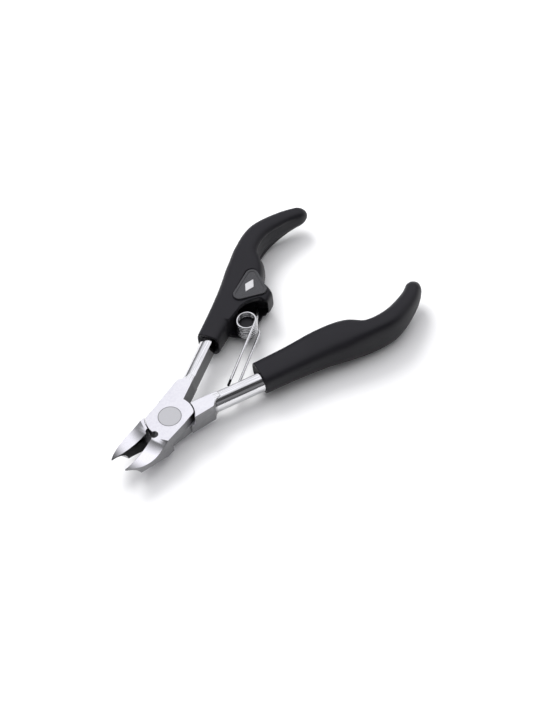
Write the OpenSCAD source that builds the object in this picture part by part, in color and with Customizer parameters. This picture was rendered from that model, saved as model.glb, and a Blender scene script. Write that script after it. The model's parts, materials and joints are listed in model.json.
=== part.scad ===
// Lap-jointed side-cutting nippers with hollow-ground pointed jaws, two round
// shanks in moulded grips and a double torsion return spring.
// Millimetres. The pivot axis is the Z axis and the flat underside of the
// joint lies at Z = 0. The handles point along +Y and the jaws along -Y.
// Each half is drawn as it lies with the jaws shut, its cutting edge on the
// plane X = 0, and is then swung open about the pivot.

/* [Joint] */
// Thickness of the joint, from flat face to flat face
head_t = 7.6; // [6.4:0.1:9.2]
// Radius of the round lap of each half
lap_r = 8; // [7.2:0.1:9]
// Width of the head from the pivot to its edge on the jaw side
head_w = 5.8; // [5.2:0.1:6.6]
// Width of the upper half from the pivot to its edge on the handle side
upper_waist = 6.4; // [5.4:0.1:7]
// Width of the lower half from the pivot to its edge on the handle side
lower_waist = 5.4; // [4.8:0.1:6.6]
// Angle each half is swung open from the shut position
half_open = 7.3; // [5:0.1:9]

/* [Rivet] */
// Radius of the two flush rivet heads
rivet_head_r = 3.85; // [3.2:0.05:4.5]
// Thickness of each rivet head
rivet_head_t = 1.2; // [0.8:0.1:1.8]
// Radius of the rivet's shaft
rivet_shaft_r = 2.5; // [1.8:0.1:2.9]

/* [Jaws] */
// Length from the pivot to the points of the jaws
jaw_len = 24.2; // [20:0.2:29]
// Width of one jaw at its root
jaw_w = 5.2; // [4.4:0.1:5.8]
// Distance from the pivot to where the jaw starts to curve in
jaw_curve_start = 11.5; // [10:0.1:13]
// Distance from the pivot to where the hollow starts
hollow_start = 10.3; // [9.6:0.1:12]
// Depth of the top hollow at the cutting edge
hollow_depth = 1.3; // [0.8:0.1:2]
// Slope of the top hollow towards the outside of the jaw
hollow_tilt = 9; // [5:0.5:14]
// Radius of the small round relief at the root of the cutting edges
relief_r = 1.25; // [0.9:0.05:1.5]

/* [Shanks] */
// Radius of each shank
shank_r = 3.6; // [2.9:0.1:3.9]
// Distance from the shank's axis to the flat on its inner side
shank_flat = 1.2; // [0.8:0.1:2]
// Angle between a shank and the plane of the cutting edges
shank_angle = 14; // [11:0.5:16]
// Distance from the pivot to the inner end of the tang inside the grip
tang_end = 63; // [54:1:68]

/* [Grips] */
// Distance from the pivot to the front end of each grip
grip_start = 33; // [30:0.5:37]
// Distance from the pivot to the rear end of each grip
grip_end = 98; // [94:0.5:106]
// Width of a grip at its front end
grip_front_w = 11; // [9.6:0.1:13]
// Thickness of a grip at its front end
grip_front_t = 9.8; // [9:0.1:12]
// Width of a grip at its widest place
grip_mid_w = 14.2; // [12.4:0.1:16]
// Thickness of a grip at its thickest place
grip_mid_t = 13.6; // [12:0.1:15.6]
// Width of a grip close to its rear end
grip_rear_w = 6.2; // [5:0.1:8]

/* [Spring] */
// Diameter of the spring wire
wire_d = 0.9; // [0.7:0.05:1.1]
// Radius of the coil, measured to the middle of the wire
coil_r = 3.2; // [2.7:0.05:3.6]
// Turns in each of the two coils
coil_turns = 3; // [2:1:3]
// Length of the two arms that lie in the fork
arm_len = 8.6; // [6:0.2:9.2]

/* [Badge] */
// Length of the badge along its longest side
badge_len = 13.8; // [11:0.2:14.4]
// Width of the badge
badge_w = 10; // [8:0.2:10.6]
// Thickness of the badge plate
badge_t = 0.9; // [0.6:0.1:1.4]

/* [Hidden] */
$fn = 96;
eps = 0.01;
far = 60;

UPPER = 1;
LOWER = -1;
LIFT = head_t / 2;

// running and assembly clearances
LAP_FACE_GAP = 0.1;
LAP_RIM_GAP = 0.3;
RUN_FIT = 0.05;
EDGE_GAP = 0.02;
TANG_FIT = 0.05;
SPRING_FIT = 0.15;
LEG_SEAT = 0.3;

ARC_STEPS = 8;
function side_angle(a, b) = atan2(b[1] - a[1], b[0] - a[0]);
// outline of a convex plate whose corners are rounded about points listed anticlockwise
module rounded_2d(middles, r) {
    n = len(middles);
    polygon([for (i = [0 : n - 1])
        let (c = middles[i], from = side_angle(middles[(i + n - 1) % n], c) - 90,
             turn = (side_angle(c, middles[(i + 1) % n]) - 90 - from + 360) % 360)
        for (k = [0 : ARC_STEPS])
            let (a = from + turn * k / ARC_STEPS) c + r * [cos(a), sin(a)]]);
}

// ---------------------------------------------------------------- halves

// radius of the arc that carries the outer side of a jaw to its point
JAW_ARC_R = (pow(jaw_w, 2) + pow(jaw_len - jaw_curve_start, 2)) / (2 * jaw_w);
// the top hollow is ground by a wheel that spans from its start to the point
HOLLOW_MID = (hollow_start + jaw_len) / 2;
HOLLOW_HALF = (jaw_len - hollow_start) / 2;
HOLLOW_R = (pow(HOLLOW_HALF, 2) + pow(hollow_depth, 2)) / (2 * hollow_depth);
// the underside hollow is flatter and climbs towards the outside of the jaw
UNDER_R = 20;
UNDER_DEPTH = 1.6;
UNDER_TILT = 22;
UNDER_BACK = 3.7;
// the front of the closing face is ground back by a small wheel
FRONT_R = 4.9;
FRONT_BACK = 0.2;
FRONT_DROP = 2.3;
FRONT_TURN = 35;

NECK_FLARE = 0.4;
NECK_END = 12.8;
SCOOP_R = 4.6;
SHANK_START = 12.6;
CORNER_R = 1.8;

// where the shank's axis crosses the line through the pivot
SHANK_X = 0.5;

module shank_frame() {
    translate([SHANK_X, 0, 0]) rotate([0, 0, shank_angle]) children();
}

// everything outside the flat that runs along the inner side of neck and shank
module behind_flat_2d() {
    shank_frame() translate([shank_flat - far, -far / 2]) square([far, 3 * far]);
}

module jaw_2d() {
    polygon([[EDGE_GAP, 0], [head_w, 0], [jaw_w, -jaw_curve_start], [EDGE_GAP, -jaw_curve_start]]);
    intersection() {
        translate([jaw_w - JAW_ARC_R, -jaw_curve_start]) circle(r = JAW_ARC_R, $fn = 180);
        translate([EDGE_GAP, -far - jaw_curve_start + eps]) square([far, far]);
    }
}

module neck_2d(waist) {
    intersection() {
        behind_flat_2d();
        difference() {
            polygon([[-waist, 0], [4, 0], [0, NECK_END + 5], [-5.6, NECK_END + 4.6],
                     [-upper_waist - NECK_FLARE, NECK_END]]);
            // the flat head runs out into the round shank in a concave corner
            translate([-upper_waist - NECK_FLARE - SCOOP_R + 1.9, NECK_END + SCOOP_R - 0.4]) circle(r = SCOOP_R);
        }
    }
}

module lap_2d(waist) {
    corner = [head_w - CORNER_R, sqrt(pow(lap_r - CORNER_R, 2) - pow(head_w - CORNER_R, 2))];
    reach = lap_r / (lap_r - CORNER_R);
    difference() {
        intersection() {
            circle(r = lap_r);
            polygon([[-waist, -far], [jaw_w, -far], [jaw_w, -jaw_curve_start], [head_w, 0],
                     [head_w, far], [-waist, far]]);
        }
        // rounded corner between the jaw-side edge and the round lap
        difference() {
            polygon([corner, [head_w + 1, corner[1]], [head_w + 1, lap_r], corner * reach]);
            translate(corner) circle(r = CORNER_R);
        }
    }
}

// one half before its cutters; layer says which half of the thickness its lap fills
module half_blank(layer, waist) {
    lap_h = head_t / 2 - LAP_FACE_GAP / 2;
    lap_z = layer == UPPER ? LAP_FACE_GAP / 2 : -head_t / 2;
    translate([0, 0, lap_z]) linear_extrude(height = lap_h) lap_2d(waist);
    translate([0, 0, -head_t / 2]) linear_extrude(height = head_t) difference() {
        union() {
            jaw_2d();
            neck_2d(waist);
        }
        circle(r = lap_r + LAP_RIM_GAP);
    }
    // the step between the lap and the full thickness on this half's own side
    translate([0, 0, lap_z]) linear_extrude(height = lap_h) intersection() {
        union() {
            jaw_2d();
            neck_2d(waist);
        }
        difference() {
            circle(r = lap_r + LAP_RIM_GAP + eps);
            circle(r = lap_r - 1);
        }
    }
    intersection() {
        shank_frame() rotate([-90, 0, 0]) translate([0, 0, SHANK_START])
            cylinder(r = shank_r, h = tang_end - SHANK_START);
        translate([0, 0, -head_t]) linear_extrude(height = 2 * head_t) behind_flat_2d();
    }
}

module jaw_cutters() {
    // top hollow
    translate([0, -HOLLOW_MID, head_t / 2 - hollow_depth + HOLLOW_R]) rotate([0, 90 + hollow_tilt, 0])
        cylinder(r = HOLLOW_R, h = 2 * far, center = true, $fn = 180);
    // underside hollow
    translate([0, -jaw_len + UNDER_BACK, -head_t / 2 + UNDER_DEPTH - UNDER_R / cos(UNDER_TILT)]) rotate([0, 90 - UNDER_TILT, 0])
        cylinder(r = UNDER_R, h = 2 * far, center = true, $fn = 180);
    // concave front below the point
    translate([0, -jaw_len + FRONT_BACK, -FRONT_DROP]) rotate([0, 0, -FRONT_TURN]) rotate([0, 90, 0])
        cylinder(r = FRONT_R, h = 2 * far, center = true);
    // relief at the root of the cutting edge
    translate([0, -lap_r - 0.4, -head_t]) cylinder(r = relief_r, h = 2 * head_t);
}

module blade_half(layer, waist) {
    head_fit = layer == UPPER ? 0 : RUN_FIT;
    difference() {
        half_blank(layer, waist);
        jaw_cutters();
        translate([0, 0, -head_t]) cylinder(r = rivet_shaft_r + head_fit, h = 2 * head_t);
        translate([0, 0, layer == UPPER ? head_t / 2 - rivet_head_t : -head_t / 2 - 1])
            cylinder(r = rivet_head_r + head_fit, h = rivet_head_t + (layer == UPPER ? 1 : 1 + RUN_FIT));
    }
}

module place_upper() {
    translate([0, 0, LIFT]) rotate([0, 0, half_open]) children();
}

module place_lower() {
    translate([0, 0, LIFT]) rotate([0, 0, -half_open]) mirror([1, 0, 0]) children();
}

module upper_blade_half() {
    color("silver") place_upper() blade_half(UPPER, upper_waist);
}

module lower_blade_half() {
    color("lightgray") place_lower() blade_half(LOWER, lower_waist);
}

module pivot_rivet() {
    color("darkgray") {
        cylinder(r = rivet_shaft_r, h = head_t);
        cylinder(r = rivet_head_r, h = rivet_head_t);
        translate([0, 0, head_t - rivet_head_t]) cylinder(r = rivet_head_r, h = rivet_head_t);
    }
}

// ----------------------------------------------------------------- grips

// stations along a grip: distance along Y, middle in X, width, thickness
GRIP_RUN = grip_end - grip_start;
STATIONS = [
    [grip_start,                     -6.7, grip_front_w,                      grip_front_t],
    [grip_start + 0.17 * GRIP_RUN,   -9.4, grip_front_w + 0.8,                grip_front_t + 0.6],
    [grip_start + 0.35 * GRIP_RUN,  -12.1, grip_mid_w - 0.8,                  grip_mid_t - 1.6],
    [grip_start + 0.48 * GRIP_RUN,  -14.4, grip_mid_w,                        grip_mid_t - 0.4],
    [grip_start + 0.58 * GRIP_RUN,  -18.2, (grip_mid_w + grip_rear_w) / 2,    grip_mid_t],
    [grip_start + 0.72 * GRIP_RUN,  -20.2, grip_rear_w + 1.4,                 grip_mid_t - 0.8],
    [grip_start + 0.88 * GRIP_RUN,  -17.7, grip_rear_w,                       grip_front_t - 0.6],
    [grip_end,                      -13.2, grip_rear_w - 1.4,                 grip_rear_w]
];
PLAIN_RINGS = 44;
FORKED_RINGS = 66;
RING_SIDES = 28;
SECTION_POWER = 0.8;
END_ROUND = 3.2;
RIM_ROUND = 0.8;

function clamp_index(i, n) = max(0, min(n - 1, i));
function catmull(a, b, c, d, t) =
    b + 0.5 * t * (c - a + t * (2 * a - 5 * b + 4 * c - d + t * (3 * (b - c) + d - a)));
// smooth value of a list of rows at u, from 0 at its first row to its last index
function along(rows, u) =
    let (n = len(rows), i = clamp_index(floor(u), n - 1), t = u - i)
    catmull(rows[clamp_index(i - 1, n)], rows[i], rows[clamp_index(i + 1, n)], rows[clamp_index(i + 2, n)], t);

function signed_pow(v, p) = sign(v) * pow(abs(v), p);

// share of the full section at distance s from an end that is rounded over length r
function end_share(s, r, least) = s >= r ? 1 : least + (1 - least) * sqrt(1 - pow(1 - max(s, 0) / r, 2));

// rings bunch up towards both ends
function ring_u(share) = (len(STATIONS) - 1) * (share - sin(360 * share) / 9);

// how far the inner side of the left grip stands out at distance y: a round lobe
// under the coil, then the nose of the fork, which runs back into the grip
HUMP_REACH = 5.2;
LOBE_REACH = 5.6;
HUMP_POWER = 0.34;
HUMP_RUN_OUT = 5.4;
function hump_reach(y) =
    let (lobe = COIL_OUT_R + 0.7)
    y < COIL[1] ? LOBE_REACH * sqrt(max(0, 1 - pow((COIL[1] - y) / lobe, 2))) :
    y < FORK_Y ? LOBE_REACH + (HUMP_REACH - LOBE_REACH) * (y - COIL[1]) / (FORK_Y - COIL[1]) :
    y < FORK_Y + HUMP_RUN_OUT ? HUMP_REACH * (1 + cos(180 * (y - FORK_Y) / HUMP_RUN_OUT)) / 2 : 0;

// hump is 1 for the grip with the spring fork and 0 for the plain grip
function grip_ring(k, rings, hump) =
    let (u = ring_u(k / rings), row = along(STATIONS, u),
         ahead = along(STATIONS, min(u + 0.02, len(STATIONS) - 1)),
         back = along(STATIONS, max(u - 0.02, 0)),
         d = [ahead[1] - back[1], ahead[0] - back[0]], across = [d[1], -d[0]] / norm(d),
         front = end_share(row[0] - grip_start, RIM_ROUND, 0.9),
         rear = end_share(grip_end - row[0], END_ROUND, 0.12),
         w = row[2] / 2 * front * rear, t = row[3] / 2 * front * rear,
         bulge = hump * hump_reach(row[0] + across[1] * w))
    [for (j = [0 : RING_SIDES - 1])
        let (a = 360 * j / RING_SIDES, inner = cos(a) > 0,
             power = inner ? SECTION_POWER - (SECTION_POWER - HUMP_POWER) * bulge / LOBE_REACH : SECTION_POWER,
             q = signed_pow(cos(a), power))
        [row[1] + across[0] * w * q + (inner ? bulge * q : 0), row[0] + across[1] * w * q,
         t * signed_pow(sin(a), power)]];

// a closed tube through equal rings of points
module skin(rings) {
    sides = len(rings[0]);
    last = len(rings) - 1;
    polyhedron(
        points = [for (ring = rings) for (p = ring) p],
        faces = concat(
            [[for (j = [0 : sides - 1]) j]],
            [for (i = [0 : last - 1]) for (j = [0 : sides - 1])
                let (n = (j + 1) % sides)
                [i * sides + j, (i + 1) * sides + j, (i + 1) * sides + n, i * sides + n]],
            [[for (j = [sides - 1 : -1 : 0]) last * sides + j]]));
}

module grip_body(rings, hump) {
    skin([for (k = [0 : rings]) grip_ring(k, rings, hump)]);
}

// the tang's shape inside a grip, larger than the tang by the fit
module tang_bore() {
    intersection() {
        shank_frame() rotate([-90, 0, 0]) cylinder(r = shank_r + TANG_FIT, h = tang_end + TANG_FIT);
        translate([0, 0, -head_t]) linear_extrude(height = 2 * head_t)
            shank_frame() translate([shank_flat + TANG_FIT - far, -far / 2]) square([far, 3 * far]);
    }
}

// ---------------------------------------------------------------- spring

// middle of the coil, in the shut position of the upper half
COIL = [-2, 46.1];
// half the height from the middle of the top turn to the middle of the bottom turn
COIL_HALF = (coil_turns + 0.05) * wire_d + wire_d / 2;
COIL_OUT_R = coil_r + wire_d / 2;
SHELF_Z = -COIL_HALF - wire_d / 2 - SPRING_FIT;
// directions of the legs and the arms, as angles in the open tool
LEG_ANGLE = -66.4;
ARM_ANGLE = 131;
WIRE_SIDES = 8;

function turned(p, a) = [p[0] * cos(a) - p[1] * sin(a), p[0] * sin(a) + p[1] * cos(a)];
COIL_OPEN = turned(COIL, half_open);

// ring of points round a wire at p that runs along unit vector d
function wire_ring(p, d) =
    let (side = abs(d[2]) > 0.9 ? [1, 0, 0] : cross([0, 0, 1], d), s = side / norm(side), up = cross(d, s))
    [for (j = [0 : WIRE_SIDES - 1])
        let (a = 360 * j / WIRE_SIDES + 22.5) p + wire_d / 2 * (s * cos(a) + up * sin(a))];
function path_dir(path, i) =
    let (d = path[min(i + 1, len(path) - 1)] - path[max(i - 1, 0)]) d / norm(d);
module wire(path) {
    skin([for (i = [0 : len(path) - 1]) wire_ring(path[i], path_dir(path, i))]);
}

// tangent points: where a straight leg or arm leaves the coil on its right side
LEG_NORMAL = LEG_ANGLE + 90;
ARM_NORMAL = ARM_ANGLE - 90;
// each coil turns from the leg's tangent point, round, to the arm's tangent point
COIL_SWEEP = 360 * coil_turns + ARM_NORMAL - LEG_NORMAL;
COIL_STEPS = 24 * coil_turns;
ARM_Z = wire_d / 2 + 0.02;
ARM_BEND_STEPS = 6;

function on_coil(a, z, out = 0) =
    [COIL_OPEN[0] + (coil_r + out) * cos(a), COIL_OPEN[1] + (coil_r + out) * sin(a), z];
// the lower coil opens out over its last part turn, so that its leg stands clear of the upper leg
LOWER_SPREAD = 1;
SPREAD_STEPS = 5;
function spread(s, i) = s < 0 ? LOWER_SPREAD * pow(max(0, 1 - i / SPREAD_STEPS), 2) : 0;
function half_coil(s) = [for (i = [0 : COIL_STEPS])
    on_coil(LEG_NORMAL + COIL_SWEEP * i / COIL_STEPS, s * (COIL_HALF + (ARM_Z - COIL_HALF) * i / COIL_STEPS),
            spread(s, i))];
ARM_DIR = [cos(ARM_ANGLE), sin(ARM_ANGLE), 0];
ARM_TIP = on_coil(ARM_NORMAL, 0) + arm_len * ARM_DIR;
// the two arms are joined by a tight bend at their far end
ARM_BEND = [for (i = [0 : ARM_BEND_STEPS])
    let (a = 90 - 180 * i / ARM_BEND_STEPS) ARM_TIP + ARM_Z * (cos(a) * ARM_DIR + [0, 0, sin(a)])];
function reversed(list) = [for (i = [len(list) - 1 : -1 : 0]) list[i]];
SPRING_PATH = concat(half_coil(1), ARM_BEND, reversed(half_coil(-1)));

module spring_coil() {
    color("gainsboro") translate([0, 0, LIFT]) wire(SPRING_PATH);
}

// the flat on the shank of the open lower half, which the legs press on
FLAT_NORMAL = [-cos(shank_angle + half_open), sin(shank_angle + half_open), 0];
FLAT_POINT = concat(turned([-SHANK_X, 0], -half_open), 0) + shank_flat * FLAT_NORMAL;
LEG_DIR = [cos(LEG_ANGLE), sin(LEG_ANGLE), 0];
// share of each step along a leg that brings it closer to the flat
APPROACH = -LEG_DIR * FLAT_NORMAL;
function leg_len(root) =
    ((root - FLAT_POINT) * FLAT_NORMAL - LEG_SEAT - wire_d / 2 * sqrt(1 - pow(APPROACH, 2))) / APPROACH;

module spring_legs() {
    color("whitesmoke") translate([0, 0, LIFT]) for (s = [-1, 1]) {
        root = on_coil(LEG_NORMAL, s * COIL_HALF, spread(s, 0));
        wire([root, root + leg_len(root) * LEG_DIR]);
    }
}

// ------------------------------------------------------- fork and badge

SLOT_TOP = COIL_HALF + wire_d / 2 + SPRING_FIT;
POST_R = coil_r - wire_d / 2 - 2 * SPRING_FIT;
POST_TOP = 1.2;
ROOM_R = COIL_OUT_R + 2 * SPRING_FIT;
// distance along Y of the nose of the fork
FORK_Y = 58.6;
// front edge of the upper cheek, on the upper half when shut
CHEEK_FRONT = [[-6.4, 41], [-6, 49.2], [-4.4, 52.4], [-0.6, 56.2], [far, 56.2], [far, 36], [-2.6, 36]];

// room for the coil round its post, for the arms between the cheeks, and for
// the coil to be dropped in from above
module spring_room() {
    translate([COIL[0], COIL[1], SHELF_Z]) difference() {
        cylinder(r = ROOM_R, h = far);
        translate([0, 0, -1]) cylinder(r = POST_R, h = 1 + POST_TOP - SHELF_Z);
    }
    translate([COIL[0], COIL[1], SHELF_Z]) rotate([0, 0, ARM_ANGLE - half_open])
        translate([coil_r, -ROOM_R - 3, 0]) cube([arm_len - coil_r + 2, 2 * ROOM_R + 3, SLOT_TOP - SHELF_Z]);
    translate([0, 0, SHELF_Z]) linear_extrude(height = far) difference() {
        polygon(CHEEK_FRONT);
        translate(COIL) circle(r = ROOM_R - eps);
    }
}

// middle of the badge and the direction of its long side, on the upper half when shut
BADGE_Z = grip_mid_t / 2 - 0.4;
BADGE_AT = [-6.8, 57.3];
BADGE_TURN = -81.5;
BADGE_CORNER = 1.5;
BADGE_FIT = 0.05;

module badge_2d(grow) {
    rounded_2d([[badge_len / 2 - BADGE_CORNER, -badge_w / 2 + BADGE_CORNER],
                [0, badge_w / 2 - BADGE_CORNER],
                [-badge_len / 2 + BADGE_CORNER, -badge_w / 2 + BADGE_CORNER]], BADGE_CORNER + grow);
}

module left_grip() {
    color("dimgray") place_upper() difference() {
        grip_body(FORKED_RINGS, 1);
        spring_room();
        tang_bore();
        translate([BADGE_AT[0], BADGE_AT[1], BADGE_Z - badge_t]) rotate([0, 0, BADGE_TURN])
            linear_extrude(height = far) badge_2d(BADGE_FIT);
    }
}

module right_grip() {
    color("dimgray") place_lower() difference() {
        grip_body(PLAIN_RINGS, 0);
        tang_bore();
    }
}

module badge() {
    color("slategray") place_upper()
        translate([BADGE_AT[0], BADGE_AT[1], BADGE_Z - badge_t]) rotate([0, 0, BADGE_TURN])
            linear_extrude(height = badge_t) badge_2d(0);
}

upper_blade_half();
lower_blade_half();
pivot_rivet();
left_grip();
right_grip();
badge();
spring_coil();
spring_legs();
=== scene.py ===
import json
import math

import bmesh
import bpy
import numpy as np
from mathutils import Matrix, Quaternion, Vector


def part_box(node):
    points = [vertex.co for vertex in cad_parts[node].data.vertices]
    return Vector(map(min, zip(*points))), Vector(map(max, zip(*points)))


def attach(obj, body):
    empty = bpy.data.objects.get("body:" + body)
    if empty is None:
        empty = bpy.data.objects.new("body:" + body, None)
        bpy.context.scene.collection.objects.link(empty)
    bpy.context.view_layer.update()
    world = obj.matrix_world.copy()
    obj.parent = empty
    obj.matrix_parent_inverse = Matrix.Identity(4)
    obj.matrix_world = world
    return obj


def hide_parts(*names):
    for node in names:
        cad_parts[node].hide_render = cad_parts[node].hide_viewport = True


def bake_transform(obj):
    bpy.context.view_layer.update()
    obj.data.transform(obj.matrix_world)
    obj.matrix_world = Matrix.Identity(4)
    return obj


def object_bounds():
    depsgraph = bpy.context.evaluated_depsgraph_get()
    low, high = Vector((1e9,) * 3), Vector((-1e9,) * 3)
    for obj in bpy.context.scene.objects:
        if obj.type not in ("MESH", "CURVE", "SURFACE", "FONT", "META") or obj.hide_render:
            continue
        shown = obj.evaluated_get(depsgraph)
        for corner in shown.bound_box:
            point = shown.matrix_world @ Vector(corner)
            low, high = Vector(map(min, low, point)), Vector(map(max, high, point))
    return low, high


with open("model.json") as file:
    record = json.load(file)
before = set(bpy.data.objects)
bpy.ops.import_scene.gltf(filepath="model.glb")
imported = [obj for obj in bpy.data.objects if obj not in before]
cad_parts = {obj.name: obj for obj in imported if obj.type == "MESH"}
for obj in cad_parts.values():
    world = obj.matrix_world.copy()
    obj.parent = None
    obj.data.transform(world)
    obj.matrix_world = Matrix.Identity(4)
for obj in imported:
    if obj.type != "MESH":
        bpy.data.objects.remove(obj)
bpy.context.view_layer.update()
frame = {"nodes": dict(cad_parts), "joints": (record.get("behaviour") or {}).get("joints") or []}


# ---------------------------------------------------------------------------------------------
# The two blade halves. Each is one forging of stainless steel, ground flat on both faces, hollow
# ground at the jaw and polished on its round shank, with its sharp edges lightly broken.

MM = 0.001
EDGE_BREAK = 0.10 * MM
WELD = 0.03 * MM
FLAT_ANGLE = math.radians(0.4)
BEVEL_ANGLE = math.radians(28)
SMOOTH_ANGLE = math.radians(46)


def set_sharp(mesh, angle):
    """Smooth faces, with every edge steeper than the angle kept crisp."""
    mesh.polygons.foreach_set("use_smooth", [True] * len(mesh.polygons))
    mesh.set_sharp_from_angle(angle=angle)


def new_piece(name, mesh, material):
    """A mesh becomes a piece of one material."""
    piece = bpy.data.objects.new(name, mesh)
    bpy.context.scene.collection.objects.link(piece)
    mesh.materials.clear()
    mesh.materials.append(material)
    return piece


def apply_modifiers(piece):
    """The piece's evaluated shape becomes its plain mesh, and its modifiers are removed."""
    bpy.context.view_layer.update()
    shape = piece.evaluated_get(bpy.context.evaluated_depsgraph_get())
    mesh = bpy.data.meshes.new_from_object(shape)
    piece.modifiers.clear()
    piece.data = mesh


def broken_edges(node, name, material, edge):
    """A welded copy of a CAD node with its sharp edges broken."""
    mesh = frame["nodes"][node].data.copy()
    shape = bmesh.new()
    shape.from_mesh(mesh)
    bmesh.ops.remove_doubles(shape, verts=shape.verts, dist=WELD)
    bmesh.ops.dissolve_limit(shape, angle_limit=FLAT_ANGLE, verts=shape.verts, edges=shape.edges)
    shape.to_mesh(mesh)
    shape.free()
    piece = new_piece(name, mesh, material)
    bevel = piece.modifiers.new("edge", "BEVEL")
    bevel.width = edge
    bevel.segments = 2
    bevel.limit_method = "ANGLE"
    bevel.angle_limit = BEVEL_ANGLE
    bevel.use_clamp_overlap = False
    apply_modifiers(piece)
    set_sharp(piece.data, SMOOTH_ANGLE)
    even = piece.modifiers.new("even", "WEIGHTED_NORMAL")
    even.keep_sharp = True
    apply_modifiers(piece)
    return piece


class Look:
    """One finish of the tool: a material, and short calls that build its nodes."""

    def __init__(self, name):
        self.material = bpy.data.materials.new(name)
        self.material.use_nodes = True
        self.tree = self.material.node_tree
        self.shader = self.tree.nodes["Principled BSDF"]

    def add(self, kind, inputs=None, **settings):
        """A node. Each input is a plain value, or the output of another node."""
        node = self.tree.nodes.new(kind)
        for key, value in settings.items():
            setattr(node, key, value)
        for key, value in (inputs or {}).items():
            if isinstance(value, bpy.types.NodeSocket):
                self.tree.links.new(value, node.inputs[key])
            else:
                node.inputs[key].default_value = value
        return node

    def math(self, operation, a, b=0.0):
        return self.add("ShaderNodeMath", {0: a, 1: b}, operation=operation).outputs[0]

    def ramp(self, value, low, high, to_low=0.0, to_high=1.0):
        """A smooth step from to_low to to_high while the value goes from low to high."""
        names = {"Value": value, "From Min": low, "From Max": high, "To Min": to_low, "To Max": to_high}
        return self.add("ShaderNodeMapRange", names, interpolation_type="SMOOTHSTEP").outputs[0]

    def mix(self, share, a, b):
        node = self.add("ShaderNodeMix", data_type="RGBA")
        for socket, value in ((node.inputs[0], share), (node.inputs[6], a), (node.inputs[7], b)):
            if isinstance(value, bpy.types.NodeSocket):
                self.tree.links.new(value, socket)
            else:
                socket.default_value = value
        return node.outputs[2]

    def noise(self, scale, detail=3.0, stretch=(1, 1, 1), turn=0.0):
        """Fine unevenness from 0 to 1, drawn out along a turned direction by stretch."""
        place = self.add("ShaderNodeTexCoord").outputs["Object"]
        names = {"Vector": place, "Scale": stretch, "Rotation": (0, 0, turn)}
        mapped = self.add("ShaderNodeMapping", names, vector_type="TEXTURE").outputs[0]
        names = {"Vector": mapped, "Scale": scale, "Detail": detail}
        return self.add("ShaderNodeTexNoise", names).outputs[0]

    def xyz(self, kind="Object"):
        """X, Y and Z of the point on the piece, or of the way that its surface faces there."""
        coords = self.add("ShaderNodeTexCoord").outputs[kind]
        return self.add("ShaderNodeSeparateXYZ", {0: coords}).outputs

    def from_pivot(self, place):
        """Distance from the rivet's axis."""
        squares = [self.math("MULTIPLY", place[axis], place[axis]) for axis in ("X", "Y")]
        return self.math("SQRT", self.math("ADD", *squares))

    def wire(self, socket, value):
        """A pattern drives one of the shader's sockets."""
        self.tree.links.new(value, self.shader.inputs[socket])

    def set(self, **sockets):
        """Values that are the same all over the surface."""
        for name, value in sockets.items():
            self.shader.inputs[name.replace("_", " ")].default_value = value

    def bump(self, height, distance):
        node = self.add("ShaderNodeBump", {"Height": height, "Distance": distance, "Strength": 1.0})
        self.wire("Normal", node.outputs[0])


def grey(value):
    """A neutral grey with the least touch of blue."""
    return (value, value, value * 1.02, 1)


SHANK_LEAN = math.radians(14)
HALF_OPEN = math.radians(7.3)
BEHIND_RIVET = (0.0, 0.006)
SHANK_START = (0.0150, 0.0165)
JAW_START = (-0.0096, -0.0104)
# Distances from the pivot where the painted highlight in the jaw's hollow rises and falls away.
HOLLOW_HIGHLIGHT_RISE = (0.0105, 0.0150)
HOLLOW_HIGHLIGHT_FALL = (0.0235, 0.0175)
# The side walls' steel is darker than the flat faces: painted shade.
SHADED_SIDE_COLOURS = ((0.23, 0.23, 0.236, 1), (0.29, 0.29, 0.298, 1))
FACE_COLOURS = ((0.70, 0.69, 0.735, 1), (0.75, 0.745, 0.78, 1))
FACE_FLECK = (0.80, 0.795, 0.82, 1)
# The jaw's hollow: painted shade at its root and tip, and a painted highlight across its middle.
HOLLOW_SHADE_AND_HIGHLIGHT = (grey(0.20), (0.80, 0.79, 0.83, 1))
SHANK_COLOURS = (grey(0.60), grey(0.74))
# Painted shade on the inner faces that look into the gap between the halves, and deeper painted shade on
# the jaws' closing faces.
INSIDE_SHADE_COLOURS = (grey(0.045), grey(0.095))
CLOSING_FACE_SHADE = grey(0.018)
POLISH = 0.22


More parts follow.
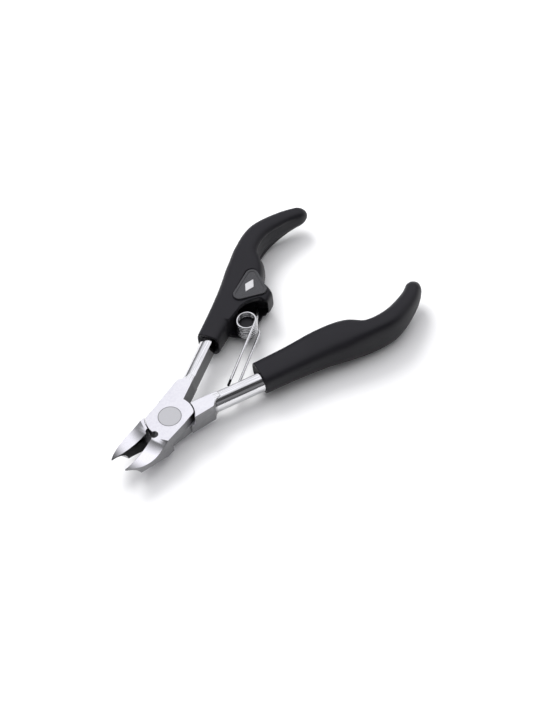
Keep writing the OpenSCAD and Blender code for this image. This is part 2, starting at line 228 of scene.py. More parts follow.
def blade_steel(name, side):
    """Ground steel: pale flat faces, sides and insides darkened with painted shade, hollow-ground jaws
    with a painted highlight and painted shade, polished shanks.
    """
    look = Look(name)
    place = look.xyz("Object")
    facing = look.xyz("Normal")
    level = look.math("ABSOLUTE", facing["Z"])
    flat = look.ramp(level, 0.93, 0.99)
    reach = look.from_pivot(place)
    behind = look.ramp(place["Y"], *BEHIND_RIVET)
    shank = look.math("MULTIPLY", look.ramp(reach, *SHANK_START), behind)
    jaw = look.ramp(place["Y"], *JAW_START)
    inward = look.math("MULTIPLY", look.math("MULTIPLY", facing["X"], side), look.math("SIGN", place["Y"]))
    # Inner faces that look towards the other half, behind the rivet and at the jaw, get painted shade.
    shaded_inside = look.math("MULTIPLY", look.ramp(inward, 0.60, 0.85), look.math("MAXIMUM", behind, jaw))
    grain = look.noise(420.0, 4.0, (0.12, 3.0, 0.12), side * (SHANK_LEAN + HALF_OPEN))
    cloud = look.noise(110.0, 3.0)
    speck = look.noise(1500.0, 2.0)
    # The side walls: grain, darkened with painted shade.
    shaded_side_colour = look.mix(look.ramp(grain, 0.25, 0.75), *SHADED_SIDE_COLOURS)
    face_colour = look.mix(look.ramp(cloud, 0.3, 0.7), *FACE_COLOURS)
    face_colour = look.mix(look.ramp(speck, 0.3, 0.7, 0.0, 0.6), face_colour, FACE_FLECK)
    polished = look.mix(look.ramp(grain, 0.35, 0.65), *SHANK_COLOURS)
    # Painted light in the hollow: a painted highlight between root and tip, painted shade at both ends.
    middle = look.math("MULTIPLY", look.ramp(reach, *HOLLOW_HIGHLIGHT_RISE), look.ramp(reach, *HOLLOW_HIGHLIGHT_FALL))
    hollow = look.mix(middle, *HOLLOW_SHADE_AND_HIGHLIGHT)
    body = look.mix(flat, shaded_side_colour, face_colour)
    body = look.mix(look.math("MULTIPLY", jaw, look.ramp(level, 0.35, 0.6)), body, hollow)
    body = look.mix(shank, body, polished)
    # Painted shade: brushed grain darkened on the shanks' inner faces, near black on the jaws' closing
    # faces.
    dark = look.mix(look.ramp(grain, 0.35, 0.65), *INSIDE_SHADE_COLOURS)
    look.wire("Base Color", look.mix(shaded_inside, body, look.mix(jaw, dark, CLOSING_FACE_SHADE)))
    rough = look.ramp(grain, 0.3, 0.7, 0.30, 0.38)
    smoother = look.math("MULTIPLY", look.math("MAXIMUM", shank, look.math("MULTIPLY", jaw, 0.6)), POLISH)
    look.wire("Roughness", look.math("SUBTRACT", rough, smoother))
    look.set(Metallic=1.0)
    look.bump(grain, 0.003 * MM)
    return look.material


upper_steel = blade_steel("upper_blade_steel", 1)
lower_steel = blade_steel("lower_blade_steel", -1)
for node, body, steel in (("upper_blade_half", "upper_half", upper_steel),
                          ("lower_blade_half", "lower_half", lower_steel)):
    half = broken_edges(node, node + "_forging", steel, EDGE_BREAK)
    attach(half, body)
    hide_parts(node)


# ---------------------------------------------------------------------------------------------
# The pivot rivet. A steel pin, spread into two shallow countersinks and ground flush, so that
# only two discs show, a little darker than the faces round them and with a hairline at their rim.

RIVET_EDGE = 0.1 * MM
RIVET_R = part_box("pivot_rivet")[1].x
RIVET_COLOURS = (grey(0.50), grey(0.62))
RIM_COLOUR = grey(0.32)

look = Look("rivet_steel")
reach = look.from_pivot(look.xyz())
rim = look.ramp(reach, RIVET_R - 0.3 * MM, RIVET_R - 0.05 * MM)
speck = look.noise(900.0, 4.0)
look.wire("Base Color", look.mix(rim, look.mix(speck, *RIVET_COLOURS), RIM_COLOUR))
look.wire("Roughness", look.ramp(speck, 0.3, 0.7, 0.38, 0.50))
look.set(Metallic=1.0)
look.bump(speck, 0.006 * MM)
rivet = broken_edges("pivot_rivet", "pivot_rivet_pin", look.material, RIVET_EDGE)
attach(rivet, "upper_half")
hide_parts("pivot_rivet")


# ---------------------------------------------------------------------------------------------
# The grips. Two black moulded sleeves over the tangs, with a soft ridge between the top and the
# sides, a rounded lip at the front and a swelling that runs out into a slim curved tail.

# Each row is one section of the shut tool's left side: distance from the pivot, middle, width,
# thickness and squareness. The right grip's rows are drawn on the left and mirrored.
LEFT_ROWS = [
    (32.5, -8.25, 8.1, 9.7, 0.52),
    (44.0, -10.5, 9.6, 10.4, 0.58),
    (55.8, -12.1, 13.4, 12.0, 0.60),
    (64.2, -15.1, 13.4, 13.2, 0.62),
    (70.7, -19.0, 9.3, 13.6, 0.66),
    (79.8, -20.3, 8.3, 12.8, 0.70),
    (90.2, -17.4, 6.7, 9.2, 0.76),
    (98.4, -12.8, 5.0, 6.2, 0.80),
]
RIGHT_ROWS = [
    (32.5, -6.7, 10.5, 9.6, 0.60),
    (44.0, -9.25, 11.0, 9.9, 0.60),
    (55.8, -12.0, 12.4, 11.5, 0.60),
    (64.2, -15.2, 12.4, 13.0, 0.62),
    (70.7, -19.0, 8.3, 13.6, 0.66),
    (79.8, -20.3, 8.0, 12.8, 0.70),
    (90.2, -17.3, 6.8, 9.2, 0.76),
    (97.3, -12.7, 5.2, 6.2, 0.80),
]
UNDERSIDE_ROUNDER = 0.32
FORK_SQUARENESS = 0.34
FULL_SWELL = 5.6
SCOOP_START = 66.0
SCOOP_END = 95.0
SCOOP_DEPTH = 1.1
SCOOP_LIP = 0.74
SCOOP_BLEND = 0.22
SCOOP_LEAN = 0.6
GRIP_SIDES = 112
GRIP_RINGS = 190
MID_Z = frame["joints"][0]["pos_m"][2]
# The lip at the front end: distance back from the front, and share of the section.
LIP = [(2.2, 0.52), (0.9, 0.72), (0.75, 0.84), (0.35, 0.88),
       (0.08, 0.91), (0.0, 0.94), (0.1, 0.97), (0.4, 0.992)]
LIP_END = 0.9
TAIL_ROUND = 3.0
TAIL_TIP = 0.04
TURN_WINDOW = 0.45
RING_EVENNESS = 60


def row_at(rows, u):
    """Smooth value of a list of rows at u, from 0 at its first row to its last index."""
    last = len(rows) - 1
    i = min(int(u), last - 1)
    t = u - i
    a, b, c, d = (np.array(rows[min(max(i + k, 0), last)]) for k in (-1, 0, 1, 2))
    return b + 0.5 * t * (c - a + t * (2 * a - 5 * b + 4 * c - d + t * (3 * (b - c) + d - a)))


def squared_off(values, power):
    """A sine or cosine pushed outwards, which turns a round section into a squarer one."""
    return np.sign(values) * np.abs(values) ** power


def grip_ring(rows, u, share, bulge_at):
    """One ring of points round a grip, in millimetres, with the tool shut."""
    last = len(rows) - 1
    y, x, width, thick, power = row_at(rows, u)
    ahead = row_at(rows, min(u + TURN_WINDOW, last))
    back = row_at(rows, max(u - TURN_WINDOW, 0))
    along = np.array([ahead[1] - back[1], ahead[0] - back[0]])
    across = np.array([along[1], -along[0]]) / np.hypot(*along)
    angle = np.linspace(0, 2 * np.pi, GRIP_SIDES, endpoint=False)
    half = width / 2 * share
    tall = thick / 2 * share
    bulge = bulge_at(y + across[1] * half) * min(1.0, share)
    inner = np.cos(angle) > 0
    powers = np.where(inner, power - (power - FORK_SQUARENESS) * bulge / FULL_SWELL, power)
    powers = powers + np.where(np.sin(angle) < 0, UNDERSIDE_ROUNDER, 0)
    q = squared_off(np.cos(angle), powers)
    height = squared_off(np.sin(angle), powers)
    along_tail = np.clip((y - SCOOP_START) / (SCOOP_END - SCOOP_START), 0, 1)
    scoop = SCOOP_DEPTH * math.sin(math.pi * along_tail ** SCOOP_LEAN) * share
    level = np.clip((SCOOP_LIP - np.abs(height)) / SCOOP_BLEND, 0, 1)
    half = half * q - np.where(inner, scoop * level * level * (3 - 2 * level), 0)
    return np.stack([x + across[0] * half + np.where(inner, bulge * q, 0),
                     y + across[1] * half, tall * height], axis=1)


def outward(mesh):
    """Turns every face of a closed mesh outwards."""
    shape = bmesh.new()
    shape.from_mesh(mesh)
    bmesh.ops.recalc_face_normals(shape, faces=shape.faces)
    shape.to_mesh(mesh)
    shape.free()


def loft(name, rings):
    """A closed skin through equal rings of points, with a pole at each end."""
    sides = len(rings[0])
    points = [rings[0].mean(0)] + [p for ring in rings for p in ring] + [rings[-1].mean(0)]
    faces = []
    for j in range(sides):
        k = (j + 1) % sides
        faces.append((0, 1 + k, 1 + j))
        for i in range(len(rings) - 1):
            low, high = 1 + i * sides, 1 + (i + 1) * sides
            faces.append((low + j, low + k, high + k, high + j))
        high = 1 + (len(rings) - 1) * sides
        faces.append((high + j, high + k, len(points) - 1))
    mesh = bpy.data.meshes.new(name)
    mesh.from_pydata([Vector(p) * MM for p in points], [], faces)
    outward(mesh)
    return mesh


def grip_skin(name, rows, bulge_at):
    """A whole sleeve: the turned-in lip, the body and the rounded tail."""
    last = len(rows) - 1
    end = rows[-1][0]
    slope = rows[1][0] - rows[0][0]
    rings = [grip_ring(rows, back / slope, share, bulge_at) for back, share in LIP]
    for k in range(GRIP_RINGS + 1):
        t = k / GRIP_RINGS
        u = LIP_END / slope + (last - LIP_END / slope) * (t - math.sin(2 * math.pi * t) / RING_EVENNESS)
        left = end - row_at(rows, u)[0]
        if left > TAIL_ROUND:
            tail = 1.0
        else:
            tail = max(TAIL_TIP, math.sqrt(max(0.0, 1 - (1 - left / TAIL_ROUND) ** 2)))
        rings.append(grip_ring(rows, u, tail, bulge_at))
    return loft(name, rings)


def place_half(mesh, side):
    """Swings a shape drawn for the shut upper half to its open place: side is -1 left and +1 right."""
    turn = -side * HALF_OPEN
    co = np.empty(len(mesh.vertices) * 3)
    mesh.vertices.foreach_get("co", co)
    co = co.reshape(-1, 3)
    x = co[:, 0] * -side
    placed = np.stack([x * math.cos(turn) - co[:, 1] * math.sin(turn),
                       x * math.sin(turn) + co[:, 1] * math.cos(turn), co[:, 2] + MID_Z], axis=1)
    mesh.vertices.foreach_set("co", placed.ravel())
    mesh.update()
    outward(mesh)


GRIP_COLOURS = ((0.0065, 0.0062, 0.0085, 1), (0.0095, 0.0090, 0.0120, 1))
look = Look("grip_black")
fine = look.noise(5200.0, 2.0)
broad = look.noise(60.0, 3.0)
look.wire("Base Color", look.mix(broad, *GRIP_COLOURS))
look.wire("Roughness", look.ramp(broad, 0.3, 0.7, 0.42, 0.52))
look.set(IOR=1.45, Specular_IOR_Level=0.32)
look.bump(fine, 0.010 * MM)
grip_black = look.material


def no_bulge(y):
    return 0.0


right_mesh = grip_skin("right_grip_sleeve", RIGHT_ROWS, no_bulge)
place_half(right_mesh, 1)
right_grip = new_piece("right_grip_sleeve", right_mesh, grip_black)
set_sharp(right_mesh, math.radians(60))
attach(right_grip, "lower_half")
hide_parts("right_grip")


# ---------------------------------------------------------------------------------------------
# The left grip carries the spring. Its inner side swells into a fork of two cheeks with a slot
# between them, and a round shelf with a short post holds the coil in front of the fork.

COIL = (-2.0, 46.1)
COIL_R = 3.2
WIRE = 0.9
COIL_TURNS = 3
TURN_ROOM = 0.05
SIDE_ROOM = 0.3
END_ROOM = 0.15
COIL_HALF = (COIL_TURNS + TURN_ROOM) * WIRE + WIRE / 2
COIL_OUT = COIL_R + WIRE / 2
ROOM_R = COIL_OUT + SIDE_ROOM
SHELF_Z = -COIL_HALF - WIRE / 2 - END_ROOM
SLOT_TOP = COIL_HALF + WIRE / 2 + END_ROOM
POST_R = COIL_R - WIRE / 2 - SIDE_ROOM
POST_TOP = 1.2
ARM_ANGLE = math.radians(131)
ARM_LEN = 8.6
NOSE_Y = 59.2
RUN_OUT = 4.2
SWELL = 5.7
LOBE_SWELL = 7.4
CHEEK_END = (-1.3, 57.8)
CHEEK_R = 2.7
CHEEK_TURNS = [math.radians(a) for a in range(-100, 1, 10)]
CHEEK_NOSE = [(CHEEK_END[0] + CHEEK_R * math.cos(a), CHEEK_END[1] + CHEEK_R * math.sin(a))
              for a in CHEEK_TURNS]
FAR = 30.0
CHEEK_FRONT = [(-6.0, 41), (-6, 48.6), (-5.6, 50.3), (-4.8, 51.9), (-3.7, 53.4), (-2.6, 54.7)]
CHEEK_FRONT += CHEEK_NOSE + [(FAR, CHEEK_END[1]), (FAR, 38), (-4.9, 38)]
LOBE_R = 4.3
LOBE_TURNS = [math.radians(a) for a in range(0, 79, 6)]
BEHIND_LOBE = [(COIL[0] + LOBE_R * math.cos(a), COIL[1] + LOBE_R * math.sin(a)) for a in LOBE_TURNS]
BEHIND_LOBE += CHEEK_NOSE + [(FAR, CHEEK_END[1]), (FAR, COIL[1])]
LOBE_PROUD = 0.45
SWELL_CHANGE = 9.7
SLOT_RUN = 3
SKIN_DETAIL = 0.22 * MM


def left_bulge(y):
    """How far the fork stands out of the grip's inner side."""
    if y < COIL[1]:
        return LOBE_SWELL * math.sqrt(max(0.0, 1 - ((COIL[1] - y) / (COIL_OUT + LOBE_PROUD)) ** 2))
    if y < NOSE_Y:
        return LOBE_SWELL + (SWELL - LOBE_SWELL) * min(1.0, (y - COIL[1]) / SWELL_CHANGE)
    if y < NOSE_Y + RUN_OUT:
        return SWELL / 2 * (1 + math.cos(math.pi * (y - NOSE_Y) / RUN_OUT))
    return 0.0


def prism(outline, low, high):
    """A closed upright solid over an outline in millimetres, given anticlockwise."""
    count = len(outline)
    points = [(x, y, z) for z in (low, high) for x, y in outline]
    faces = [tuple(reversed(range(count))), tuple(range(count, 2 * count))]
    faces += [(i, (i + 1) % count, count + (i + 1) % count, count + i) for i in range(count)]
    mesh = bpy.data.meshes.new("cutter")
    mesh.from_pydata([Vector(p) * MM for p in points], [], faces)
    outward(mesh)
    return mesh


def round_outline(middle, radius, count=96):
    """A circle as an outline."""
    return [(middle[0] + radius * math.cos(2 * math.pi * k / count),
             middle[1] + radius * math.sin(2 * math.pi * k / count)) for k in range(count)]


def combine(piece, mesh, operation):
    """Cuts a solid out of a piece, or joins it on."""
    cutter = bpy.data.objects.new("cutter", mesh)
    bpy.context.scene.collection.objects.link(cutter)
    cut = piece.modifiers.new("cut", "BOOLEAN")
    cut.operation = operation
    cut.solver = "EXACT"
    cut.object = cutter
    apply_modifiers(piece)
    bpy.data.objects.remove(cutter)


BADGE_LEN = 13.8
BADGE_W = 10.0
BADGE_T = 0.9
BADGE_AT = (-6.8, 57.3)
BADGE_TURN = math.radians(-81.5)
BADGE_TOP = 6.25
BADGE_CORNER = 2.3
BADGE_ROOM = 0.12


def on_badge(x, y):
    """A point of the badge's own plan, x along its long side, where it lies on the shut grip."""
    return (BADGE_AT[0] + x * math.cos(BADGE_TURN) - y * math.sin(BADGE_TURN),
            BADGE_AT[1] + x * math.sin(BADGE_TURN) + y * math.cos(BADGE_TURN))


def badge_outline(grow, steps=12):
    """The three-cornered plate's outline, with rounded corners, grown by a distance."""
    r = BADGE_CORNER
    foot = -BADGE_W / 2 + r
    middles = [(BADGE_LEN / 2 - r, foot), (0, BADGE_W / 2 - r), (-BADGE_LEN / 2 + r, foot)]
    points = []
    for i, (x, y) in enumerate(middles):
        before = middles[i - 1]
        after = middles[(i + 1) % 3]
        start = math.atan2(y - before[1], x - before[0]) - math.pi / 2
        turn = (math.atan2(after[1] - y, after[0] - x) - math.pi / 2 - start) % (2 * math.pi)
        for k in range(steps + 1):
            a = start + turn * k / steps
            points.append(on_badge(x + (r + grow) * math.cos(a), y + (r + grow) * math.sin(a)))
    return points


left_mesh = grip_skin("left_grip_sleeve", LEFT_ROWS, left_bulge)
left_grip = new_piece("left_grip_sleeve", left_mesh, grip_black)
combine(left_grip, prism(CHEEK_FRONT, SHELF_Z, FAR), "DIFFERENCE")
combine(left_grip, prism(round_outline(COIL, ROOM_R), SHELF_Z, FAR), "DIFFERENCE")
arm = ARM_ANGLE - HALF_OPEN
along = (math.cos(arm), math.sin(arm))
aside = (-math.sin(arm), math.cos(arm))
slot_end = ARM_LEN + 2
slot_side = -ROOM_R - SLOT_RUN
slot_corners = [(COIL_R, slot_side), (slot_end, slot_side), (slot_end, ROOM_R), (COIL_R, ROOM_R)]
slot = [(COIL[0] + a * along[0] + b * aside[0], COIL[1] + a * along[1] + b * aside[1])
        for a, b in slot_corners]
combine(left_grip, prism(slot, SHELF_Z, SLOT_TOP), "DIFFERENCE")
combine(left_grip, prism(round_outline(COIL, POST_R), SHELF_Z - 1, POST_TOP), "UNION")
combine(left_grip, prism(BEHIND_LOBE, -FAR, FAR), "DIFFERENCE")
combine(left_grip, prism(badge_outline(BADGE_ROOM), BADGE_TOP - BADGE_T, FAR), "DIFFERENCE")
remesh = left_grip.modifiers.new("skin", "REMESH")
remesh.mode = "VOXEL"
remesh.voxel_size = SKIN_DETAIL
relax = left_grip.modifiers.new("relax", "SMOOTH")
relax.factor = 0.5
relax.iterations = 5
apply_modifiers(left_grip)
place_half(left_grip.data, -1)
left_grip.data.materials.clear()
left_grip.data.materials.append(grip_black)
left_grip.data.polygons.foreach_set("use_smooth", [True] * len(left_grip.data.polygons))
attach(left_grip, "upper_half")
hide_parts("left_grip")


# ---------------------------------------------------------------------------------------------
# The badge. A small three-cornered plate of dark grey plastic, let into the top of the left grip.
# It has a raised rim, and a plain pale lozenge stands on its face.

BADGE_COLOURS = ((0.024, 0.024, 0.027, 1), (0.040, 0.040, 0.044, 1))
PRINT_COLOURS = ((0.42, 0.42, 0.43, 1), (0.54, 0.54, 0.55, 1))
RIM_W = 0.9
RIM_STEP = 0.18

look = Look("badge_grey")
tooth = look.noise(2600.0, 2.0)
look.wire("Base Color", look.mix(look.ramp(tooth, 0.35, 0.65), *BADGE_COLOURS))
look.wire("Roughness", look.ramp(tooth, 0.3, 0.7, 0.42, 0.55))
look.bump(tooth, 0.006 * MM)
badge_grey = look.material


def stacked(name, outlines):
    """A closed plate through outlines of equal length, each with its height."""
    count = len(outlines[0][0])
    points = [(x, y, z) for outline, z in outlines for x, y in outline]
    faces = [tuple(reversed(range(count)))]
    for i in range(len(outlines) - 1):
        low, high = i * count, (i + 1) * count
        faces += [(low + j, low + (j + 1) % count, high + (j + 1) % count, high + j) for j in range(count)]
    top = (len(outlines) - 1) * count
    faces.append(tuple(range(top, top + count)))
    mesh = bpy.data.meshes.new(name)
    mesh.from_pydata([Vector(p) * MM for p in points], [], faces)
    outward(mesh)
    return mesh


# Each outline has its distance outside the plate's edge, and its height.
badge_mesh = stacked("badge_plate", [
    (badge_outline(-0.02), BADGE_TOP - BADGE_T),
    (badge_outline(-0.02), BADGE_TOP - 0.18),
    (badge_outline(-0.08), BADGE_TOP - 0.04),
    (badge_outline(-0.20), BADGE_TOP),
    (badge_outline(-RIM_W + 0.12), BADGE_TOP),
    (badge_outline(-RIM_W), BADGE_TOP - 0.05),
    (badge_outline(-RIM_W - 0.08), BADGE_TOP - RIM_STEP),
])
place_half(badge_mesh, -1)
badge = new_piece("badge_plate", badge_mesh, badge_grey)
set_sharp(badge_mesh, math.radians(40))
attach(badge, "upper_half")
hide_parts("badge")

look = Look("badge_print")
fleck = look.noise(1900.0, 2.0)
look.wire("Base Color", look.mix(fleck, *PRINT_COLOURS))
look.wire("Roughness", look.ramp(fleck, 0.3, 0.7, 0.35, 0.5))
look.bump(fleck, 0.004 * MM)

LOZENGE = [(-2.9, -1.3), (0.0, -2.9), (2.9, -1.3), (0.0, 0.3)]
LOZENGE_MIDDLE = -1.3
LOZENGE_STEP = 0.10
LOZENGE_BEVEL = 0.96
lozenge_foot = [on_badge(x, y) for x, y in LOZENGE]
lozenge_top = [on_badge(x * LOZENGE_BEVEL, LOZENGE_MIDDLE + (y - LOZENGE_MIDDLE) * LOZENGE_BEVEL)
               for x, y in LOZENGE]
floor_of_badge = BADGE_TOP - RIM_STEP
marks = stacked("badge_lozenge", [
    (lozenge_foot, floor_of_badge - 0.05),
    (lozenge_foot, floor_of_badge + LOZENGE_STEP - 0.03),
    (lozenge_top, floor_of_badge + LOZENGE_STEP),
])
place_half(marks, -1)
lozenge = new_piece("badge_lozenge", marks, look.material)
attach(lozenge, "upper_half")


# ---------------------------------------------------------------------------------------------
# The return spring. One bent wire: two coils round the post, two arms that stand in the fork and
# two legs that press on the flat of the other half's shank.

LEG_ANGLE = math.radians(-66.4)
LEG_SEAT = 0.03
LOWER_SPREAD = 1.0
ARM_Z = WIRE / 2 + 0.02
SHANK_X = 0.5
SHANK_FLAT = 1.2
COIL_STEPS = 40
BEND_STEPS = 10
LEG_POINTS = 48
SPREAD_TURN = math.radians(75)
WIRE_SIDES = 20
# Beyond TIP_Y the wire of the legs' ends is coloured near black.
TIP_Y = 0.0236
WIRE_COLOURS = (grey(0.56), grey(0.70))
TIP_COLOUR = grey(0.02)

look = Look("spring_wire")
draw = look.noise(700.0, 2.0)
tip = look.ramp(look.xyz()["Y"], TIP_Y + 0.1 * MM, TIP_Y - 0.1 * MM)
look.wire("Base Color", look.mix(tip, look.mix(draw, *WIRE_COLOURS), TIP_COLOUR))
look.wire("Roughness", look.ramp(draw, 0.3, 0.7, 0.12, 0.22))
look.set(Metallic=1.0)
spring_wire = look.material


def wire_tree(material):
    """Geometry Nodes that sweep a round wire along the piece's own line of edges."""
    tree = bpy.data.node_groups.new("round_wire", "GeometryNodeTree")
    tree.interface.new_socket("Line", in_out="INPUT", socket_type="NodeSocketGeometry")
    radius = tree.interface.new_socket("Wire radius", in_out="INPUT", socket_type="NodeSocketFloat")
    sides = tree.interface.new_socket("Sides", in_out="INPUT", socket_type="NodeSocketInt")
    tree.interface.new_socket("Wire", in_out="OUTPUT", socket_type="NodeSocketGeometry")
    start = tree.nodes.new("NodeGroupInput")
    end = tree.nodes.new("NodeGroupOutput")
    line = tree.nodes.new("GeometryNodeMeshToCurve")
    round_section = tree.nodes.new("GeometryNodeCurvePrimitiveCircle")
    sweep = tree.nodes.new("GeometryNodeCurveToMesh")
    sweep.inputs["Fill Caps"].default_value = True
    smooth = tree.nodes.new("GeometryNodeSetShadeSmooth")
    real = tree.nodes.new("GeometryNodeRealizeInstances")
    paint = tree.nodes.new("GeometryNodeSetMaterial")
    paint.inputs["Material"].default_value = material
    for a, b in ((start.outputs["Line"], line.inputs["Mesh"]),
                 (start.outputs["Wire radius"], round_section.inputs["Radius"]),
                 (start.outputs["Sides"], round_section.inputs["Resolution"]),
                 (line.outputs["Curve"], sweep.inputs["Curve"]),
                 (round_section.outputs["Curve"], sweep.inputs["Profile Curve"]),
                 (sweep.outputs["Mesh"], smooth.inputs["Geometry"]),
                 (smooth.outputs["Geometry"], real.inputs["Geometry"]),
                 (real.outputs["Geometry"], paint.inputs["Geometry"]),
                 (paint.outputs["Geometry"], end.inputs["Wire"])):
        tree.links.new(a, b)
    return tree, radius.identifier, sides.identifier


round_wire, RADIUS_INPUT, SIDES_INPUT = wire_tree(spring_wire)


def wire_piece(name, paths):
    """A piece of round wire along each list of points in millimetres, measured from mid-thickness."""
    mesh = bpy.data.meshes.new(name)
    points = []
    edges = []
    for path in paths:
        first = len(points)
        points += [Vector(p) * MM + Vector((0, 0, MID_Z)) for p in path]
        edges += [(first + i, first + i + 1) for i in range(len(path) - 1)]
    mesh.from_pydata(points, edges, [])
    piece = new_piece(name, mesh, spring_wire)
    sweep = piece.modifiers.new("wire", "NODES")
    sweep.node_group = round_wire
    sweep[RADIUS_INPUT] = WIRE / 2 * MM
    sweep[SIDES_INPUT] = WIRE_SIDES
    apply_modifiers(piece)
    outward(piece.data)
    set_sharp(piece.data, math.radians(50))
    return piece


coil_open = (COIL[0] * math.cos(HALF_OPEN) - COIL[1] * math.sin(HALF_OPEN),
             COIL[0] * math.sin(HALF_OPEN) + COIL[1] * math.cos(HALF_OPEN))
LEG_NORMAL = LEG_ANGLE + math.pi / 2
ARM_NORMAL = ARM_ANGLE - math.pi / 2
SWEEP = 2 * math.pi * COIL_TURNS + ARM_NORMAL - LEG_NORMAL


def on_coil(angle, z, out=0.0):
    """A point of the coil's middle line, round the coil's own axis."""
    r = COIL_R + out
    return Vector((coil_open[0] + r * math.cos(angle), coil_open[1] + r * math.sin(angle), z))


def spread(side, share):
    """The lower coil opens out over its first part turn, so that its leg stands clear of the upper leg."""
    turned = share * SWEEP / SPREAD_TURN
    return LOWER_SPREAD * max(0.0, 1 - turned) ** 2 if side < 0 else 0.0


def half_coil(side):
    """The upper or the lower coil, from its leg to its arm."""
    count = COIL_STEPS * COIL_TURNS
    points = []
    for i in range(count + 1):
        height = COIL_HALF + (ARM_Z - COIL_HALF) * i / count
        points.append(on_coil(LEG_NORMAL + SWEEP * i / count, side * height, spread(side, i / count)))
    return points


arm_dir = Vector((math.cos(ARM_ANGLE), math.sin(ARM_ANGLE), 0))
arm_tip = on_coil(ARM_NORMAL, 0) + arm_dir * ARM_LEN
bend = [arm_tip + arm_dir * ARM_Z * math.cos(a) + Vector((0, 0, ARM_Z * math.sin(a)))
        for a in (math.radians(90 - 180 * i / BEND_STEPS) for i in range(BEND_STEPS + 1))]
coil = wire_piece("spring_coils", [half_coil(1) + bend + half_coil(-1)[::-1]])
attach(coil, "upper_half")
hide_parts("spring_coil")

leg_dir = Vector((math.cos(LEG_ANGLE), math.sin(LEG_ANGLE), 0))
lean = SHANK_LEAN + HALF_OPEN
flat_normal = Vector((-math.cos(lean), math.sin(lean), 0))
shank_root = Vector((-SHANK_X * math.cos(-HALF_OPEN), -SHANK_X * math.sin(-HALF_OPEN), 0))
flat_point = shank_root + flat_normal * SHANK_FLAT
approach = -leg_dir.dot(flat_normal)


def leg(side):
    """A straight leg, from its coil to just above the shank's flat."""
    root = on_coil(LEG_NORMAL, side * COIL_HALF, spread(side, 0))
    above = (root - flat_point).dot(flat_normal)
    reach = (above - LEG_SEAT - WIRE / 2 * math.sqrt(1 - approach ** 2)) / approach
    return [root + leg_dir * reach * i / LEG_POINTS for i in range(LEG_POINTS + 1)]


legs = wire_piece("spring_legs_pair", [leg(-1), leg(1)])
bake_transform(legs)
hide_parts("spring_legs")


# ---------------------------------------------------------------------------------------------
# The place where it lies: a plain pale floor, a soft lamp behind and to the left, a wide ceiling
# light, and a grey room that is bright overhead and behind, with a dark band at the front right.

floor_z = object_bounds()[0].z
bpy.ops.mesh.primitive_plane_add(size=8, location=(0, 0, floor_z))
floor = bpy.context.object
floor.name = "floor"
look = Look("floor_white")
look.set(Base_Color=(0.86, 0.86, 0.86, 1), Roughness=0.9, Specular_IOR_Level=0.0)
floor.data.materials.append(look.material)

pivot = Vector(frame["joints"][0]["pos_m"])
LAMP_FROM = Vector((-0.66, 0.30, 0.70)).normalized()
LAMP_DISTANCE = 0.75
LAMP_AIM = Vector((0, 0.035, 0))


def soft_lamp(name, size, energy, place):
    """A round lamp that lights the tool and the floor, and doesn't show in the steel."""
    data = bpy.data.lights.new(name, "AREA")
    data.shape = "DISK"
    data.size = size
    data.energy = energy
    lamp = bpy.data.objects.new(name, data)
    bpy.context.scene.collection.objects.link(lamp)
    lamp.location = place
    lamp.visible_glossy = False
    return lamp


lamp_place = pivot + LAMP_AIM + LAMP_FROM * LAMP_DISTANCE
softbox = soft_lamp("softbox", size=0.42, energy=4.2, place=lamp_place)
softbox.rotation_euler = LAMP_FROM.to_track_quat("Z", "Y").to_euler()
soft_lamp("ceiling", size=1.6, energy=5.0, place=pivot + Vector((0, 0, 1)))

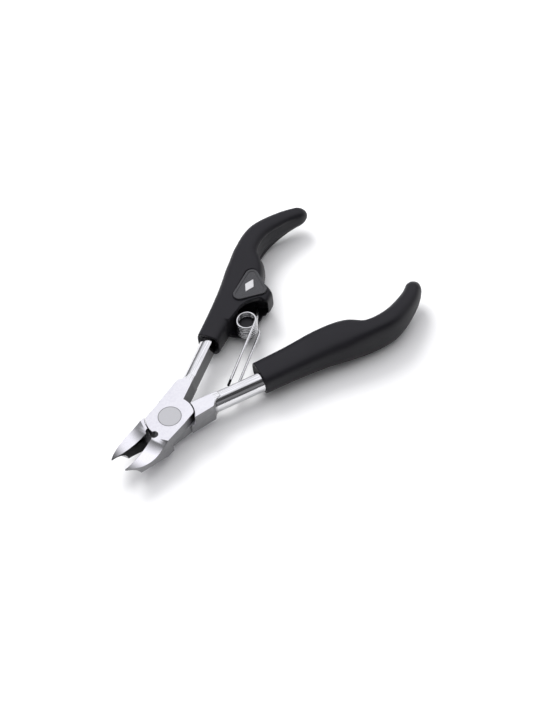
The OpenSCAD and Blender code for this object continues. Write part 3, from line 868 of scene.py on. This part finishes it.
DARK_SIDE = (0.742, -0.670, 0.0)
SKY = ((0.0, 0.12), (0.30, 0.30), (0.62, 0.95), (1.0, 1.0))
WALL = ((0.0, 1.0), (0.08, 1.0), (0.26, 0.06), (0.62, 0.05), (0.80, 0.55), (1.0, 0.60))
world = bpy.data.worlds.new("room")
bpy.context.scene.world = world
world.use_nodes = True
room = world.node_tree
coords = room.nodes.new("ShaderNodeTexCoord")
split = room.nodes.new("ShaderNodeSeparateXYZ")
sky = room.nodes.new("ShaderNodeValToRGB")
toward = room.nodes.new("ShaderNodeVectorMath")
toward.operation = "DOT_PRODUCT"
toward.inputs[1].default_value = DARK_SIDE
wall = room.nodes.new("ShaderNodeValToRGB")
both = room.nodes.new("ShaderNodeMix")
both.data_type = "RGBA"
both.blend_type = "MULTIPLY"
both.inputs[0].default_value = 1.0
for a, b in ((coords.outputs["Generated"], split.inputs[0]), (split.outputs["Z"], sky.inputs[0]),
             (coords.outputs["Generated"], toward.inputs[0]), (toward.outputs["Value"], wall.inputs[0]),
             (sky.outputs[0], both.inputs[6]), (wall.outputs[0], both.inputs[7]),
             (both.outputs[2], room.nodes["Background"].inputs["Color"])):
    room.links.new(a, b)
for stops, rows in ((sky.color_ramp, SKY), (wall.color_ramp, WALL)):
    for stop, row in ((stops.elements[0], rows[0]), (stops.elements[1], rows[-1])):
        stop.position = row[0]
        stop.color = grey(row[1])
    for position, value in rows[1:-1]:
        stops.elements.new(position).color = grey(value)
room.nodes["Background"].inputs["Strength"].default_value = 1.25


# ---------------------------------------------------------------------------------------------
# The camera stands at the front right and looks down past the jaws, over the joint, along the
# grips. It is turned a little about its own line of sight, and its lens is a long one.

AZIMUTH = math.radians(47.9)
ELEVATION = math.radians(52.36)
ROLL = math.radians(7.38)
DISTANCE = 0.600
LENS = 93.86
AIM_RIGHT = 0.033857
AIM_UP = 0.018825
level_part = math.cos(ELEVATION)
forward = Vector((-math.sin(AZIMUTH) * level_part, math.cos(AZIMUTH) * level_part, -math.sin(ELEVATION)))
right = Vector((math.cos(AZIMUTH), math.sin(AZIMUTH), 0))
up = right.cross(forward)
aim = pivot + right * AIM_RIGHT + up * AIM_UP
camera = bpy.data.objects.new("camera", bpy.data.cameras.new("camera"))
bpy.context.scene.collection.objects.link(camera)
camera.data.lens = LENS
camera.data.sensor_width = 36
camera.data.clip_start = 0.02
camera.location = aim - forward * DISTANCE
camera.rotation_mode = "QUATERNION"
turn = forward.to_track_quat("-Z", "Y")
camera.rotation_quaternion = turn @ Quaternion((0, 0, 1), -ROLL)
bpy.context.scene.camera = camera
bpy.context.scene.view_settings.view_transform = "Standard"
